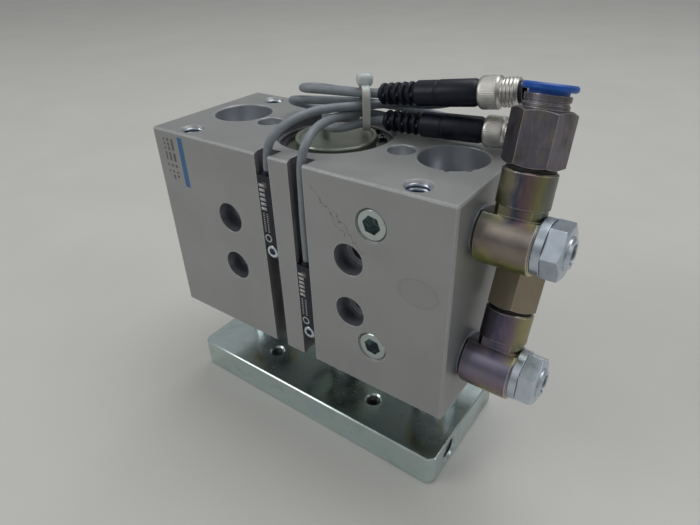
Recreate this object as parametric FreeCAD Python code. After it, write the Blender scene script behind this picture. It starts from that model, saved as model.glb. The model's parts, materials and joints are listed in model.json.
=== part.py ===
"""Compact guided pneumatic drive: twin guide rods, yoke plate, two swivel one-way flow controls,
two magnetic sensors with short cables.  Millimetres, +Z up.

Origin: centre of the yoke plate's bottom face.  +X runs along the wide front face towards the air
fittings, +Y points to the back.  The yoke unit stands still, the housing slides up on it.
"""
import FreeCAD, Part
from math import acos, cos, pi, radians, sin, sqrt, tan
import os

V = FreeCAD.Vector

# ---- driving dimensions ----------------------------------------------------------------------
HOUSING_W, HOUSING_D, HOUSING_H = 112.0, 50.0, 70.0
PLATE_W, PLATE_D, PLATE_T = 108.8, 48.6, 12.0
GAP = 21.4                       # yoke plate to housing with the piston on its rear stop
STROKE = 25.0
EDGE = 0.5                       # broken edges of the housing
AXIS_Y = 2.5                     # cylinder and guide rods share this plane

GUIDE_X, GUIDE_BORE_R, GUIDE_ROD_R = 40.8, 10.0, 8.0
ROD_TOP_Z = 93.0                 # upper ends of the guide rods
CYL_R = 16.0
CAP_SEAT_R, MOUTH_R = 18.0, 19.2
PISTON_ROD_R = 6.0
FIT = 0.02                       # radial clearance of a fixed fit
RUN = 0.03                       # radial clearance of a running fit

Z0 = PLATE_T + GAP               # housing, bottom face
Z1 = Z0 + HOUSING_H              # housing, top face
FRONT, BACK = -HOUSING_D / 2, HOUSING_D / 2
RIGHT = HOUSING_W / 2

CAP_Z, CAP_FLANGE_T, CAP_BOSS_R = 92.4, 6.0, 13.0
CIRCLIP_T, CIRCLIP_IN_R, CIRCLIP_OUT_R = 1.5, 15.0, 18.9
BEARING_Z0 = Z0 + 2.5
BUMPER_T = 1.5
PISTON_Z1 = CAP_Z - BUMPER_T - 0.1
PISTON_Z0 = PISTON_Z1 - 18.0
PISTON_R = 15.6
BEARING_Z1 = PISTON_Z0 - BUMPER_T - STROKE - 0.1

MOUNT_X, MOUNT_ZS = 23.8, (60.1, 78.4)
MOUNT_R, MOUNT_CB_R, MOUNT_CB_DEPTH = 3.4, 5.1, 6.5
TOP_TAP_X, TOP_TAP_Y, TOP_TAP_R, TOP_TAP_DEPTH = 42.2, 19.5, 3.4, 16.0
DOWEL_X, DOWEL_Y, DOWEL_R, DOWEL_DEPTH = 25.7, -0.3, 4.15, 5.0
PLATE_TAP_X, PLATE_TAP_Y, PLATE_TAP_R = 23.5, 12.2, 2.5
END_TAP_Y, END_TAP_Z, END_TAP_R, END_TAP_DEPTH = -12.0, 6.6, 3.75, 14.0

PORT_ZS = {"upper": 91.5, "lower": 50.0}
PORT_Y, PORT_R, PORT_DEPTH = -11.0, 4.86, 9.0
PLUG_X, PLUG_R, PLUG_LIP_R, PLUG_DEPTH, PLUG_AF = 31.6, 4.84, 5.1, 7.5, 5.0
AIR_R = 2.0

SLOT_X, SLOT_MOUTH_W, SLOT_MOUTH_D, SLOT_W, SLOT_D = 6.35, 5.2, 1.6, 6.6, 5.4
SENSOR_Z0 = {"left": 68.5, "right": 41.5}
SENSOR_L, SENSOR_NOSE_L, SENSOR_NOSE_R = 28.5, 1.0, 1.9
CLAMP_UP, CLAMP_R = 2.5, 2.4      # clamp screw above the sensor's lower end

# swivel flow controls: bolt axis along X, stem leaning back from +Z
LEAN = {"upper": 14.0, "lower": 20.5}
BANJO_X0, BANJO_X1, BANJO_R, BANJO_FLAT = 56.55, 71.45, 8.1, 5.95
NECK_R, NECK_HALF_Y, NECK_TOP = 6.3, 4.8, 8.5
STEM_X, STEM_R, STEM_TOP, STEM_BORE_R = 65.1, 6.6, 17.3, 4.86
BOLT_R, BOLT_HEX_X0, BOLT_HEX_X1, BOLT_AF, BOLT_END_X = 4.8, 73.75, 78.3, 13.0, 79.3
BOLT_FACE_ANGLE = {"upper": 144.0, "lower": 115.0}
THROTTLE_R = 2.6
HEX_AF, HEX_S0, HEX_S1 = 13.0, 18.1, 31.2
HEX_FACE_ANGLE = {"upper": -79.0, "lower": -45.0}
COLLAR_R, COLLAR_TOP = 5.3, 34.3
TUBE_R = 4.05                    # bore for an 8 mm tube
RING_R, RING_S0, RING_S1, SLEEVE_R = 6.3, 35.1, 36.7, 4.6

# round sensor connectors: start of the boot and direction of the axis
CONNECTOR = {"upper": (V(12.0, 10.0, 115.0), V(37.0, 2.0, 4.8)),
             "lower": (V(13.8, 9.8, 107.4), V(35.0, 3.4, 1.3))}
BOOT_L, BOOT_R, BOOT_CORE_R, BOOT_RIBS = 12.2, 3.5, 2.5, 5
GRIP_R, GRIP_END = 3.75, 31.0
NUT_S0, NUT_S1, NUT_R, NUT_TUBE_R, THREAD_R, THREAD_END = 31.3, 37.3, 4.4, 2.9, 3.95, 42.0
INSERT_R, INSERT_END, PIN_R = 2.8, 42.9, 0.5

CABLE_R = 1.3
TIE_C, TIE_AZ = V(5.7, 10.3, 110.65), 40.0
TIE_HALF_W, TIE_HALF_H, TIE_CORNER_R = 5.75, 5.75, 2.2
TIE_W, TIE_T, TIE_HEAD = 2.5, 1.1, 5.8

# Cable centre lines, chosen by hand: each leaves its sensor up the slot, passes the tie, folds
# behind the connectors, comes back, folds at the left and ends in its connector's boot.
ROUTES = {
    "left": [
        (-6.3, -22.7, 98.0), (-6.1, -22.8, 104.0), (-3.6, -21.6, 109.0), (-1.6, -15.8, 111.9),
        (0.2, -7.8, 112.7), (3.0, 0.4, 112.1), (7.0, 7.2, 111.4), (11.0, 13.6, 111.0),
        (17.0, 16.8, 111.2), (23.6, 17.2, 111.6), (28.8, 18.8, 112.2), (31.2, 22.8, 112.8),
        (29.0, 27.0, 113.2), (23.8, 27.6, 113.5), (17.6, 24.2, 113.7), (12.4, 18.2, 113.8),
        (6.2, 12.6, 113.9), (-0.4, 12.0, 113.8), (-6.2, 12.7, 113.3), (-10.6, 13.6, 113.1),
        (-14.9, 13.2, 113.1), (-17.2, 9.8, 113.6), (-16.1, 5.9, 114.2), (-12.0, 4.4, 114.7),
        (-7.2, 5.2, 114.9), (-1.4, 6.4, 114.9), (5.2, 8.2, 114.8), (12.0, 10.0, 115.0)],
    "right": [
        (6.3, -22.7, 71.0), (6.3, -22.9, 83.0), (6.5, -22.7, 95.0), (6.9, -22.9, 103.2),
        (7.6, -21.0, 108.4), (6.0, -14.4, 110.4), (3.6, -6.8, 109.8), (2.8, 0.6, 109.2),
        (5.0, 7.8, 109.1), (9.2, 13.6, 107.4), (15.4, 17.4, 105.2), (22.4, 18.0, 104.8),
        (28.4, 18.6, 104.8), (32.6, 21.4, 104.8), (32.4, 26.4, 104.8), (28.2, 29.2, 104.8),
        (22.6, 28.0, 105.4), (16.6, 23.8, 107.4), (11.0, 17.8, 109.6), (5.0, 12.6, 110.9),
        (-1.6, 10.0, 111.0), (-8.0, 8.4, 110.7), (-13.4, 6.6, 110.6), (-18.4, 5.4, 110.3),
        (-22.6, 7.6, 109.0), (-24.2, 11.8, 107.0), (-21.4, 15.6, 105.4), (-16.2, 15.4, 104.8),
        (-10.6, 11.2, 104.8), (-6.8, 5.6, 104.8), (-3.4, 1.6, 104.8), (0.8, 1.0, 104.9),
        (4.2, 3.7, 105.4), (7.2, 7.0, 106.3), (10.2, 9.0, 107.0), (13.8, 9.8, 107.4)],
}

XA, YA, ZA = V(1, 0, 0), V(0, 1, 0), V(0, 0, 1)


# ---- small helpers ---------------------------------------------------------------------------
def rod(base, axis, r, length):
    """A cylinder of radius r from base along axis."""
    return Part.makeCylinder(r, length, base, axis)


def cone(base, axis, r1, r2, length):
    return Part.makeCone(r1, r2, length, base, axis)


def ring(base, axis, r_in, r_out, length):
    return rod(base, axis, r_out, length).cut(rod(base - axis, axis, r_in, length + 2))


def block(x0, x1, y0, y1, z0, z1):
    return Part.makeBox(x1 - x0, y1 - y0, z1 - z0, V(x0, y0, z0))


def hexagon(base, axis, across_flats, length, face_dir):
    """A hexagonal prism along axis with one face towards face_dir."""
    corner_r = across_flats / sqrt(3)
    u = V(face_dir)
    u.normalize()
    w = axis.cross(u)
    points = []
    for i in range(7):
        a = radians(30 + 60 * i)
        points.append(base + u * (corner_r * cos(a)) + w * (corner_r * sin(a)))
    return Part.Face(Part.makePolygon(points)).extrude(axis * length)


def turned(base, axis, profile):
    """A solid of revolution from (distance along axis, radius) pairs."""
    side = axis.cross(XA) if abs(axis.dot(XA)) < 0.9 else axis.cross(YA)
    side.normalize()
    points = [base + axis * s + side * r for s, r in profile]
    face = Part.Face(Part.makePolygon(points + [points[0]]))
    return face.revolve(base, axis, 360)


def tapped(base, axis, r, depth, chamfer=0.7):
    """The cutter for a blind tapped hole: core, drill point and mouth chamfer, cut along axis."""
    core = rod(base, axis, r, depth)
    point = cone(base + axis * depth, axis, r, 0.05, r * 0.6)
    mouth = cone(base - axis * 0.01, axis, r + chamfer, r, chamfer)
    return core.fuse([point, mouth])


def both_sides(make):
    return [make(-1), make(1)]


def union(shapes):
    return shapes[0].fuse(shapes[1:]).removeSplitter()


# ---- yoke unit -------------------------------------------------------------------------------
def yoke_plate():
    hw, hd, corner = PLATE_W / 2, PLATE_D / 2, 2.0
    outline = [(-hw + corner, -hd), (hw - corner, -hd), (hw, -hd + corner), (hw, hd - corner),
               (hw - corner, hd), (-hw + corner, hd), (-hw, hd - corner), (-hw, -hd + corner)]
    points = [V(x, y, 0) for x, y in outline + outline[:1]]
    plate = Part.Face(Part.makePolygon(points)).extrude(V(0, 0, PLATE_T))
    plate = plate.makeChamfer(0.4, plate.Edges)
    cutters = []
    for sx in (-1, 1):
        for sy in (-1, 1):
            at = V(sx * PLATE_TAP_X, sy * PLATE_TAP_Y, -1)
            cutters.append(rod(at, ZA, PLATE_TAP_R, PLATE_T + 2))
            at.z = PLATE_T
            cutters.append(cone(at + ZA * 0.01, -ZA, PLATE_TAP_R + 0.6, PLATE_TAP_R, 0.6))
        end = V(sx * hw, END_TAP_Y, END_TAP_Z)
        cutters.append(tapped(end, XA * -sx, END_TAP_R, END_TAP_DEPTH))
        cutters.append(screw_seat(V(sx * GUIDE_X, AXIS_Y, 0), GUIDE_SCREW))
    cutters.append(screw_seat(V(0, AXIS_Y, 0), ROD_SCREW))
    return plate.cut(cutters)


# cap screws under the plate: shank radius, head radius, head height, seat depth, length in the rod
GUIDE_SCREW = (4.0, 6.5, 8.0, 8.4, 16.0)
ROD_SCREW = (3.0, 5.0, 6.0, 6.4, 14.0)


def screw_seat(at, screw):
    shank, head, _, seat, _ = screw
    return rod(at - ZA, ZA, head + 0.3, seat + 1).fuse(rod(at, ZA, shank + 0.2, PLATE_T + 1))


def cap_screw(at, screw):
    """A socket head screw pointing up, its head in the seat under the plate."""
    shank, head, height, seat, grip = screw
    low = at + ZA * (seat - height)
    body = rod(low, ZA, head, height)
    body = body.makeChamfer(0.4, [body.Edges[0], body.Edges[2]])
    body = body.fuse(rod(at + ZA * seat, ZA, shank - FIT, PLATE_T - seat + grip))
    return body.cut(hexagon(low - ZA * 0.01, ZA, shank * 1.5, height * 0.55, XA))


def rod_socket(at, screw):
    """Tapped hole in the lower end of a rod for its screw."""
    shank, grip = screw[0], screw[4]
    return rod(at, ZA, shank, grip + 2)


def guide_rod(side):
    at = V(side * GUIDE_X, AXIS_Y, PLATE_T)
    length = ROD_TOP_Z - PLATE_T
    profile = [(0, 0), (0, GUIDE_ROD_R - 0.5), (0.5, GUIDE_ROD_R), (length - 1.5, GUIDE_ROD_R),
               (length, GUIDE_ROD_R - 1.2), (length, 0)]
    return turned(at, ZA, profile).cut(rod_socket(at, GUIDE_SCREW))


SPIGOT_R, SPIGOT_L = 5.0, 11.0


def piston_rod():
    at = V(0, AXIS_Y, PLATE_T)
    length = PISTON_Z0 - PLATE_T
    shaft = rod(at, ZA, PISTON_ROD_R, length)
    spigot = rod(at + ZA * length, ZA, SPIGOT_R, SPIGOT_L)
    top_tap = rod(V(0, AXIS_Y, PISTON_Z0 - 8), ZA, 3.0, 8 + SPIGOT_L)
    return shaft.fuse(spigot).cut([rod_socket(at, ROD_SCREW), top_tap])


# grooves round the piston: distance up from its lower face, width, inner radius
SEAL_GROOVE = (13.0, 3.0, 13.2)
MAGNET_GROOVE = (7.0, 4.0, 12.6)
WEAR_GROOVE = (1.8, 3.4, 14.4)


def piston():
    at = V(0, AXIS_Y, PISTON_Z0)
    height = PISTON_Z1 - PISTON_Z0
    body = rod(at, ZA, PISTON_R, height)
    cutters = [rod(at - ZA, ZA, SPIGOT_R + FIT, SPIGOT_L + 1.2), rod(at, ZA, 3.2, height + 1),
               rod(at + ZA * (SPIGOT_L + 1.6), ZA, 5.4, height)]
    for up, width, r_in in (SEAL_GROOVE, MAGNET_GROOVE, WEAR_GROOVE):
        cutters.append(ring(at + ZA * up, ZA, r_in, PISTON_R + 1, width))
    return body.cut(cutters)


def groove_ring(groove, r_out, slack=0.1):
    """A ring that fills a piston groove out to r_out."""
    up, width, r_in = groove
    at = V(0, AXIS_Y, PISTON_Z0 + up + slack / 2)
    return ring(at, ZA, r_in + FIT, r_out, width - slack)


def piston_seal():
    up, width, r_in = SEAL_GROOVE
    lip = CYL_R - RUN
    at = V(0, AXIS_Y, PISTON_Z0 + up)
    profile = [(0.1, r_in + FIT), (width - 0.1, r_in + FIT), (width - 0.1, lip), (width - 0.7, lip),
               (width / 2, lip - 0.7), (0.7, lip), (0.1, lip)]
    return turned(at, ZA, profile)


def piston_screw():
    at = V(0, AXIS_Y, PISTON_Z0 + SPIGOT_L + 1.6)
    head = rod(at, ZA, 5.1, 4.6).cut(hexagon(at + ZA * 2, ZA, 5.0, 3, XA))
    return head.fuse(rod(at - ZA * 16, ZA, 3.0 - FIT, 16))


def piston_bumpers():
    r_in, r_out = 8.5, 12.0
    upper = ring(V(0, AXIS_Y, PISTON_Z1), ZA, r_in, r_out, BUMPER_T)
    lower = ring(V(0, AXIS_Y, PISTON_Z0 - BUMPER_T), ZA, r_in, r_out, BUMPER_T)
    return Part.makeCompound([upper, lower])


# ---- housing ---------------------------------------------------------------------------------
def sensor_slot(side):
    x, top = side * SLOT_X, Z1 + 1
    mouth = block(x - SLOT_MOUTH_W / 2, x + SLOT_MOUTH_W / 2, FRONT - 1, FRONT + 2, Z0 - 1, top)
    inner = block(x - SLOT_W / 2, x + SLOT_W / 2, FRONT + SLOT_MOUTH_D, FRONT + SLOT_D, Z0 - 1, top)
    return mouth.fuse(inner)


def cylinder_bore():
    axis = V(0, AXIS_Y, 0)
    groove_top = CAP_Z + CAP_FLANGE_T
    groove_low = BEARING_Z0 - CIRCLIP_T
    return [rod(axis + ZA * (Z0 - 1), ZA, CYL_R, HOUSING_H + 2),
            rod(axis + ZA * (CAP_Z - 0.05), ZA, CAP_SEAT_R, HOUSING_H),
            rod(axis + ZA * (groove_top + CIRCLIP_T + 0.5), ZA, MOUTH_R, HOUSING_H),
            ring(axis + ZA * groove_top, ZA, CAP_SEAT_R - 1, CIRCLIP_OUT_R + 0.1, CIRCLIP_T + 0.1),
            rod(axis + ZA * (Z0 - 1), ZA, CAP_SEAT_R, BEARING_Z1 - Z0 + 1),
            ring(axis + ZA * groove_low, ZA, CAP_SEAT_R - 1, CIRCLIP_OUT_R + 0.1, CIRCLIP_T)]


def guide_bore(side):
    at = V(side * GUIDE_X, AXIS_Y, 0)
    rim_top = cone(at + ZA * (Z1 + 0.01), -ZA, GUIDE_BORE_R + 0.4, GUIDE_BORE_R, 0.4)
    rim_low = cone(at + ZA * (Z0 - 0.01), ZA, GUIDE_BORE_R + 0.4, GUIDE_BORE_R, 0.4)
    return rod(at + ZA * (Z0 - 1), ZA, GUIDE_BORE_R, HOUSING_H + 2).fuse([rim_top, rim_low])


def rim_notches():
    """Two small round nicks in the front rim of the right guide bore."""
    cutters = []
    for angle in (-74.0, -41.0):
        a = radians(angle)
        at = V(GUIDE_X + 10.3 * cos(a), AXIS_Y + 10.3 * sin(a), Z1 - 1.5)
        cutters.append(rod(at, ZA, 0.8, 3))
    return cutters


def front_hole(side, z):
    """Through hole along Y with a counterbore in the front face."""
    at = V(side * MOUNT_X, FRONT - 1, z)
    through = rod(at, YA, MOUNT_R, HOUSING_D + 2)
    seat = rod(at, YA, MOUNT_CB_R, MOUNT_CB_DEPTH + 1)
    return through.fuse(seat)


def air_port(name):
    """Side port, plugged front port and the drilling that joins them to the cylinder."""
    z = PORT_ZS[name]
    side = tapped(V(RIGHT, PORT_Y, z), -XA, PORT_R, PORT_DEPTH, 0.4)
    front = rod(V(PLUG_X, FRONT - 1, z), YA, PORT_R, 10)
    spot = rod(V(PLUG_X, FRONT - 1, z), YA, PLUG_LIP_R, 1.5)
    cross = rod(V(RIGHT - 1, PORT_Y, z), -XA, AIR_R, RIGHT - 8)
    down = rod(V(PLUG_X, FRONT + 8, z), YA, AIR_R, -FRONT + PORT_Y - 8 + AIR_R)
    return side.fuse([front, spot, cross, down])


def housing():
    body = block(-RIGHT, RIGHT, FRONT, BACK, Z0, Z1)
    body = body.makeChamfer(EDGE, body.Edges)
    cutters = cylinder_bore() + rim_notches()
    for side in (-1, 1):
        cutters += [sensor_slot(side), guide_bore(side)]
        cutters += [front_hole(side, z) for z in MOUNT_ZS]
        cutters.append(tapped(V(side * DOWEL_X, DOWEL_Y, Z1), -ZA, DOWEL_R, DOWEL_DEPTH, 0.3))
        for sy in (-1, 1):
            at = V(side * TOP_TAP_X, sy * TOP_TAP_Y, Z1)
            cutters.append(tapped(at, -ZA, TOP_TAP_R, TOP_TAP_DEPTH))
    cutters += [air_port(name) for name in PORT_ZS]
    return body.cut(cutters)


def guide_bushes(side):
    bushes = []
    for z in (Z0 + 2, Z0 + 19):
        at = V(side * GUIDE_X, AXIS_Y, z)
        bushes.append(ring(at, ZA, GUIDE_ROD_R + RUN, GUIDE_BORE_R - FIT, 15))
    return Part.makeCompound(bushes)


def rear_end_cap():
    """Flange under the circlip and a dished round boss that fills the mouth."""
    r, t = CAP_SEAT_R - FIT, CAP_FLANGE_T
    top = Z1 - 1.0 - CAP_Z
    profile = [(0, 0), (0, r), (1.6, r), (1.6, r - 1.3), (3.6, r - 1.3), (3.6, r), (t, r),
               (t, CAP_BOSS_R - 0.4), (top - 0.5, CAP_BOSS_R), (top, CAP_BOSS_R - 0.3),
               (top, CAP_BOSS_R - 1.1), (top - 0.7, CAP_BOSS_R - 1.9), (top - 0.9, 0)]
    return turned(V(0, AXIS_Y, CAP_Z), ZA, profile)


def cap_oring(z, r_in, width):
    """O-ring of oval section that just meets the seat."""
    at = V(0, AXIS_Y, z)
    out = CAP_SEAT_R - FIT
    mid = width / 2
    profile = [(0.05, r_in + 0.4), (0.5, r_in + FIT), (width - 0.5, r_in + FIT),
               (width - 0.05, r_in + 0.4), (width - 0.05, out - 0.3), (mid, out), (0.05, out - 0.3)]
    return turned(at, ZA, profile)


def circlip(z, gap_dir):
    """Internal circlip with a gap and two lugs with plier holes."""
    at = V(0, AXIS_Y, z)
    body = ring(at, ZA, CIRCLIP_IN_R + 1.2, CIRCLIP_OUT_R, CIRCLIP_T)
    lugs = ring(at, ZA, CIRCLIP_IN_R - 0.9, CIRCLIP_OUT_R - 1.2, CIRCLIP_T)
    wedge = block(-5.2, 5.2, 0, 30, z - 1, z + 3).translate(V(0, AXIS_Y, 0))
    body = body.fuse(lugs.common(wedge))
    cutters = [block(-2.2, 2.2, AXIS_Y, AXIS_Y + 30, z - 1, z + 3)]
    for sx in (-1, 1):
        cutters.append(rod(V(sx * 3.7, AXIS_Y + 15.6, z - 1), ZA, 0.8, 4))
    clip = body.cut(cutters).removeSplitter()
    clip.rotate(at, ZA, gap_dir)
    return clip


def rod_bearing_cap():
    """Closes the rod end of the cylinder and carries the rod bush and rod seal."""
    r = CAP_SEAT_R - FIT
    length = BEARING_Z1 - 0.05 - BEARING_Z0
    profile = [(0, 9.0), (0, r), (length - 4.6, r), (length - 4.6, r - 1.3),
               (length - 2.2, r - 1.3), (length - 2.2, r), (length, r), (length, 7.5),
               (3.5, 7.5), (3.5, 9.0)]
    return turned(V(0, AXIS_Y, BEARING_Z0), ZA, profile)


def rod_bush():
    at = V(0, AXIS_Y, BEARING_Z0 + 3.6)
    return ring(at, ZA, PISTON_ROD_R + RUN, 7.5 - FIT, BEARING_Z1 - BEARING_Z0 - 4.0)


def rod_seal():
    """Wiper and seal in one: a ring with a lip that points out along the rod."""
    inner = PISTON_ROD_R + RUN
    profile = [(0.6, inner + 1.0), (-0.6, inner), (1.2, inner), (2.2, inner + 0.5), (3.4, inner),
               (3.4, 9.0 - FIT), (0.6, 9.0 - FIT)]
    return turned(V(0, AXIS_Y, BEARING_Z0), ZA, profile)


def port_plug(z):
    at = V(PLUG_X, FRONT + 0.25, z)
    body = rod(at, YA, PLUG_R, PLUG_DEPTH)
    body = body.makeChamfer(0.5, [body.Edges[0], body.Edges[2]])
    return body.cut(hexagon(at - YA * 0.01, YA, PLUG_AF, 4.5, V(1, 0, 0.35)))


# ---- sensors ---------------------------------------------------------------------------------
def sensor_x(name):
    return SLOT_X if name == "right" else -SLOT_X


def clamp_point(name):
    return V(sensor_x(name), FRONT, SENSOR_Z0[name] + CLAMP_UP)


def window_box(name, grow):
    """Indicator window near the cable end, in the front of the sensor."""
    x, top = sensor_x(name), SENSOR_Z0[name] + SENSOR_L
    return block(x - 0.9 - grow, x + 0.9 + grow, FRONT + 0.05 - grow, FRONT + 0.9 + grow,
                 top - 4.0 - grow, top - 2.2 + grow)


def sensor(name):
    """Face in the slot's mouth, wider foot behind it; the clamp screw sits in its open lower end."""
    x, z0 = sensor_x(name), SENSOR_Z0[name]
    z1 = z0 + SENSOR_L
    face = block(x - 2.45, x + 2.45, FRONT + 0.05, FRONT + 3, z0 + CLAMP_UP, z1)
    foot = block(x - 3.1, x + 3.1, FRONT + SLOT_MOUTH_D + 0.1, FRONT + SLOT_D - 0.2, z0 + 0.6, z1)
    nose = rod(V(x, -22.7, z1 - 1), ZA, SENSOR_NOSE_R, 1 + SENSOR_NOSE_L)
    body = union([face, foot, nose])
    seat = rod(clamp_point(name) - YA, YA, CLAMP_R + FIT, 5.0)
    return body.cut([seat, window_box(name, FIT)])


def sensor_clamp_screws():
    """Round set screws with a bevelled rim and a hexagon socket."""
    screws = []
    for name in SENSOR_Z0:
        at = clamp_point(name) + YA * 0.2
        screw = turned(at, YA, [(0, 0), (0, CLAMP_R - 0.4), (0.4, CLAMP_R), (3.7, CLAMP_R), (3.7, 0)])
        screws.append(screw.cut(hexagon(at - YA * 0.01, YA, 2.3, 2.2, V(1, 0, 0.4))))
    return Part.makeCompound(screws)


def sensor_windows():
    return Part.makeCompound([window_box(name, 0) for name in SENSOR_Z0])


# ---- cables ----------------------------------------------------------------------------------
def tube(route, r):
    """Straight runs joined by tangent arcs, swept with a round section; prints its figures."""
    points = [V(*p) for p in route]
    runs = [points[i + 1] - points[i] for i in range(len(points) - 1)]
    edges, radii, last = [], [], points[0]
    for i in range(1, len(points) - 1):
        a, b = V(runs[i - 1]), V(runs[i])
        cut = 0.45 * min(a.Length, b.Length)
        a.normalize()
        b.normalize()
        turn = acos(max(-1.0, min(1.0, a.dot(b))))
        radius = cut / tan(turn / 2)
        start, end = points[i] - a * cut, points[i] + b * cut
        inward = b - a
        inward.normalize()
        middle = points[i] + inward * (radius / cos(turn / 2) - radius)
        edges.append(Part.LineSegment(last, start).toShape())
        edges.append(Part.Arc(start, middle, end).toShape())
        radii.append(radius)
        last = end
    edges.append(Part.LineSegment(last, points[-1]).toShape())
    path = Part.Wire(edges)
    first = V(runs[0])
    first.normalize()
    section = Part.Wire(Part.makeCircle(r, points[0], first))
    solid = path.makePipeShell([section], True, False, 2)
    ideal = pi * r * r * path.Length
    print("cable", round(path.Length, 1), "mm long, radii", [round(x, 1) for x in radii],
          "volume ratio", round(solid.Volume / ideal, 4))
    return solid


def connector_axis(name):
    start, along = CONNECTOR[name]
    axis = V(along)
    axis.normalize()
    return start, axis


def connector_boot(name):
    """Ribbed strain relief: grooves between rounded ribs."""
    start, axis = connector_axis(name)
    profile = [(0, 0), (0, BOOT_CORE_R)]
    pitch = (BOOT_L - 0.8) / BOOT_RIBS
    for i in range(BOOT_RIBS):
        s = 0.6 + i * pitch
        profile += [(s, BOOT_CORE_R), (s + 0.25, BOOT_R - 0.15), (s + 0.5, BOOT_R),
                    (s + pitch - 1.2, BOOT_R), (s + pitch - 0.95, BOOT_R - 0.15),
                    (s + pitch - 0.75, BOOT_CORE_R)]
    profile += [(BOOT_L, BOOT_CORE_R), (BOOT_L, 0)]
    return turned(start, axis, profile)


def connector_grip(name):
    """Moulded body between boot and nut, and the tube inside the nut."""
    start, axis = connector_axis(name)
    s0 = BOOT_L
    profile = [(s0, 0), (s0, GRIP_R - 0.45), (s0 + 0.5, GRIP_R - 0.1), (s0 + 6.5, GRIP_R - 0.1),
               (s0 + 6.7, GRIP_R - 0.25), (s0 + 7.1, GRIP_R - 0.25), (s0 + 7.3, GRIP_R),
               (GRIP_END - 1.2, GRIP_R), (GRIP_END, GRIP_R - 0.5), (GRIP_END, NUT_TUBE_R - 0.3),
               (NUT_S0 + 3.0, NUT_TUBE_R - 0.3), (NUT_S0 + 3.0, 0)]
    return turned(start, axis, profile)


def coupling_nut(name):
    """Ring that turns freely, with a threaded nose."""
    start, axis = connector_axis(name)
    s0, s1 = NUT_S0, NUT_S1
    profile = [(s0, NUT_TUBE_R), (s0, NUT_R - 0.5), (s0 + 0.5, NUT_R), (s1 - 0.7, NUT_R),
               (s1, NUT_R - 0.7), (s1, THREAD_R - 0.25), (s1 + 0.4, THREAD_R - 0.25),
               (s1 + 0.6, THREAD_R), (THREAD_END - 0.4, THREAD_R), (THREAD_END, THREAD_R - 0.4),
               (THREAD_END, NUT_TUBE_R)]
    return turned(start, axis, profile)


def contact_insert(name):
    """Insulator with three contact pins."""
    start, axis = connector_axis(name)
    s0 = NUT_S0 + 3.0
    well = INSERT_END - 4.0
    core = rod(start + axis * s0, axis, INSERT_R, INSERT_END - s0)
    core = core.cut(rod(start + axis * well, axis, INSERT_R - 0.6, 9))
    side = axis.cross(ZA)
    side.normalize()
    up = side.cross(axis)
    pins = []
    for angle in (90, 210, 330):
        a = radians(angle)
        foot = start + axis * (well - 1) + side * (1.15 * cos(a)) + up * (1.15 * sin(a))
        pins.append(rod(foot, axis, PIN_R, 4.2))
    return union([core] + pins)


def tie_outline(grow):
    """Rounded block whose round edges run along Y: the strap's inside, or its outside."""
    half_w, half_h = TIE_HALF_W + grow, TIE_HALF_H + grow
    base = block(-half_w, half_w, -TIE_W / 2, TIE_W / 2, -half_h, half_h)
    along_y = [e for e in base.Edges if abs(e.tangentAt(e.FirstParameter).y) > 0.9]
    return base.makeFillet(TIE_CORNER_R + grow, along_y)


def cable_tie():
    """Strap round the six cable strands, with a rounded locking head on top."""
    strap = tie_outline(TIE_T).cut(tie_outline(0))
    top = TIE_HALF_H + TIE_T
    head = block(-TIE_HEAD / 2, TIE_HEAD / 2, -2.6, 2.6, top - 0.9, top + 3.1)
    head = head.makeFillet(1.8, head.Edges)
    tie = strap.fuse(head).removeSplitter()
    tie.rotate(V(0, 0, 0), ZA, TIE_AZ - 90)
    return tie.translate(TIE_C)


# ---- swivel flow controls --------------------------------------------------------------------
def stem(name):
    """Foot point and direction of a leaning stem."""
    lean = radians(LEAN[name])
    return V(STEM_X, PORT_Y, PORT_ZS[name]), V(0, sin(lean), cos(lean))


def swivel_body(name):
    """Banjo: ring round the bolt with a flat towards the stem, a waist flattened at front and back,
    and the stem itself."""
    foot, axis = stem(name)
    at = V(BANJO_X0, PORT_Y, PORT_ZS[name])
    length = BANJO_X1 - BANJO_X0
    barrel = turned(at, XA, [(0, 0), (0, BANJO_R - 1.0), (1.0, BANJO_R), (length - 0.4, BANJO_R),
                             (length, BANJO_R - 0.4), (length, 0)])
    lid = Part.makeBox(40, 40, 10, V(STEM_X - 20, PORT_Y - 20, PORT_ZS[name] + BANJO_FLAT))
    lid.rotate(foot, XA, -LEAN[name])
    barrel = barrel.cut(lid)
    waist = Part.makeBox(40, 2 * NECK_HALF_Y, 40, V(STEM_X - 20, PORT_Y - NECK_HALF_Y, PORT_ZS[name] - 20))
    waist.rotate(foot, XA, -LEAN[name])
    neck = rod(foot, axis, NECK_R, NECK_TOP + 0.1).common(waist)
    upright = turned(foot, axis, [(NECK_TOP, 0), (NECK_TOP, STEM_R - 0.2), (NECK_TOP + 0.2, STEM_R),
                                  (STEM_TOP - 0.4, STEM_R), (STEM_TOP, STEM_R - 0.4), (STEM_TOP, 0)])
    body = union([barrel, neck, upright])
    cutters = [rod(at - XA, XA, BOLT_R + 0.05, length + 2),
               rod(V(STEM_X - 3.0, PORT_Y, PORT_ZS[name]), XA, 5.3, 6.0),
               rod(foot, axis, 2.6, STEM_TOP),
               rod(foot + axis * 9.2, axis, STEM_BORE_R, STEM_TOP)]
    return body.cut(cutters).removeSplitter()


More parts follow.
